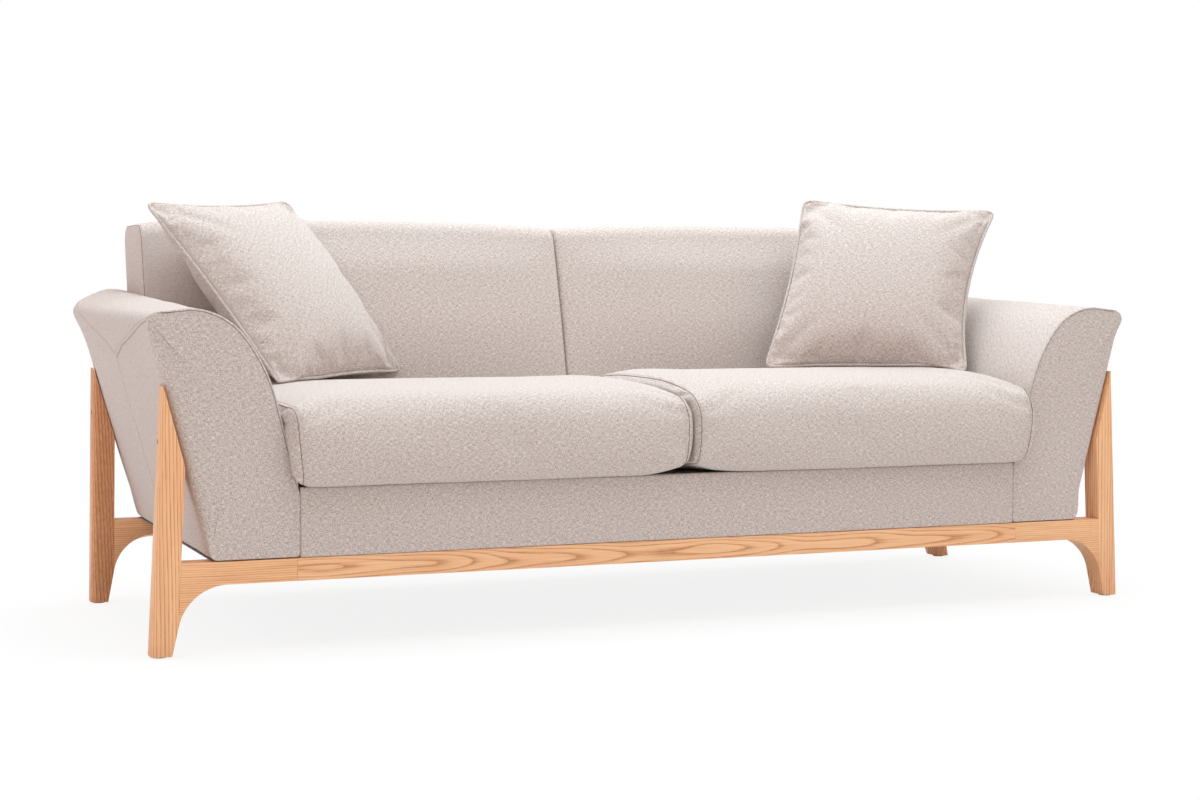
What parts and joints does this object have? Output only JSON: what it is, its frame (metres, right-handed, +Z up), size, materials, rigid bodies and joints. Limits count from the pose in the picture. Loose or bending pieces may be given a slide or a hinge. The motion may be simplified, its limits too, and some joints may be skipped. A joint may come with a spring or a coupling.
{
  "type": "sofa",
  "caption": "Upholstered sofa with flared rolled arms, loose seat cushions, piped scatter cushions and splayed solid wood leg frames.",
  "frame": {"origin": "on the floor, midway across the width and the depth", "axes": "+X along the sofa towards its left-hand arm as one sits, +Y towards the back, +Z up; the sofa faces -Y"},
  "size_m": [2.112, 0.942, 0.8443],
  "materials": {
    "ash": "clear satin lacquer over pale ash",
    "beech": "planed, unfinished",
    "plywood": "sawn, unfinished",
    "steel": "zinc plated",
    "glide": "moulded",
    "lining": "plain black lining cloth",
    "webbing": "elastic webbing",
    "foam": "cut foam",
    "filling": "fibre filling in a white inner case",
    "zip": "coil zip on woven tape",
    "weave_body": "melange weave, matte",
    "weave_back": "melange weave, matte",
    "weave_seat": "melange weave, matte",
    "weave_scatter": "melange weave, matte"
  },
  "bodies": {
    "sofa_body": {"post_front_left": "ash", "post_front_right": "ash", "post_rear_left": "ash", "post_rear_right": "ash", "bracket_front_left": "ash", "bracket_front_right": "ash", "bracket_rear_left": "ash", "bracket_rear_right": "ash", "rail_front": "ash", "rail_rear": "ash", "frame_dowels": "beech", "foot_glides": "glide", "post_bolts": "steel", "post_inserts": "steel", "rail_screws": "steel", "base_board_front": "plywood", "base_board_rear": "plywood", "base_board_left": "plywood", "base_board_right": "plywood", "base_beam": "plywood", "spring_batten": "beech", "corner_blocks": "plywood", "springs_left": "steel", "springs_right": "steel", "spring_clips": "steel", "seat_deck": "lining", "apron_pad": "weave_body", "dust_cover": "lining", "arm_panel_front_left": "plywood", "arm_panel_front_right": "plywood", "arm_panel_rear_left": "plywood", "arm_panel_rear_right": "plywood", "arm_rail_top_left": "beech", "arm_rail_top_right": "beech", "arm_rail_side_left": "beech", "arm_rail_side_right": "beech", "arm_pad_left": "weave_body", "arm_pad_right": "weave_body", "back_rail_top": "beech", "back_rail_low": "beech", "back_uprights": "beech", "back_webbing": "webbing", "back_pad_left": "weave_back", "back_pad_right": "weave_back", "back_panel": "weave_body"},
    "seat_left": {"seat_cushion_left": "weave_seat", "seat_core_left": "foam", "seat_zip_left": "zip"},
    "seat_right": {"seat_cushion_right": "weave_seat", "seat_core_right": "foam", "seat_zip_right": "zip"},
    "scatter_left": {"scatter_cushion_left": "weave_scatter", "scatter_filling_left": "filling"},
    "scatter_right": {"scatter_cushion_right": "weave_scatter", "scatter_filling_right": "filling"}
  },
  "joints": [
    {"name": "seat_left_lift", "type": "slide", "parent": "sofa_body", "child": "seat_left", "axis": [0, 0, 1], "range_m": [0, 0.53]},
    {"name": "seat_right_lift", "type": "slide", "parent": "sofa_body", "child": "seat_right", "axis": [0, 0, 1], "range_m": [0, 0.53]},
    {"name": "scatter_left_lift", "type": "slide", "parent": "seat_left", "child": "scatter_left", "axis": [0, 0, 1], "range_m": [0, 0.4]},
    {"name": "scatter_right_lift", "type": "slide", "parent": "seat_right", "child": "scatter_right", "axis": [0, 0, 1], "range_m": [0, 0.4]}
  ]
}
